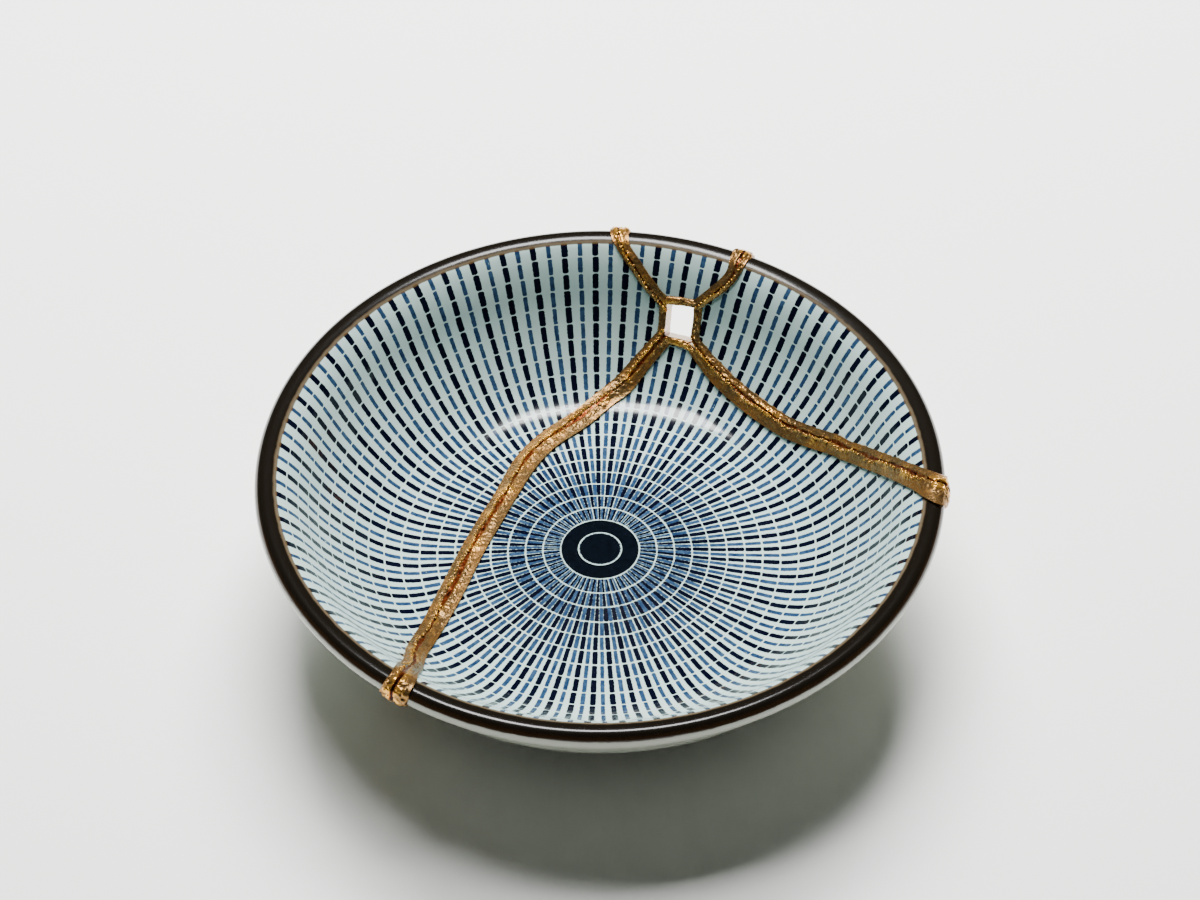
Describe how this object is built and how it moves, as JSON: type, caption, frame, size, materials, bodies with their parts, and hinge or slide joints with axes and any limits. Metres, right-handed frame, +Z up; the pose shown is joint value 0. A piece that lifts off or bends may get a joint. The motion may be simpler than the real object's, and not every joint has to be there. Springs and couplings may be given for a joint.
{
  "type": "kintsugi bowl",
  "caption": "Shallow stoneware bowl with a blue striped inside and brown rim, broken and rejoined with raised gold seams around a small open gap.",
  "frame": {"origin": "under the middle of the foot ring, on the surface that the bowl stands on", "axes": "+Z up along the bowl's axis, +Y towards the small rim shard and the open gap"},
  "size_m": [0.1594, 0.1593, 0.0414],
  "materials": {
    "glazed_stoneware": "glossy glaze with blue stripes and a brown rim",
    "gold_lacquer": "crumpled satin gold"
  },
  "bodies": {
    "root": {"front_shard": "glazed_stoneware", "left_shard": "glazed_stoneware", "right_shard": "glazed_stoneware", "rim_shard": "glazed_stoneware", "gold_seam": "gold_lacquer"}
  },
  "joints": []
}
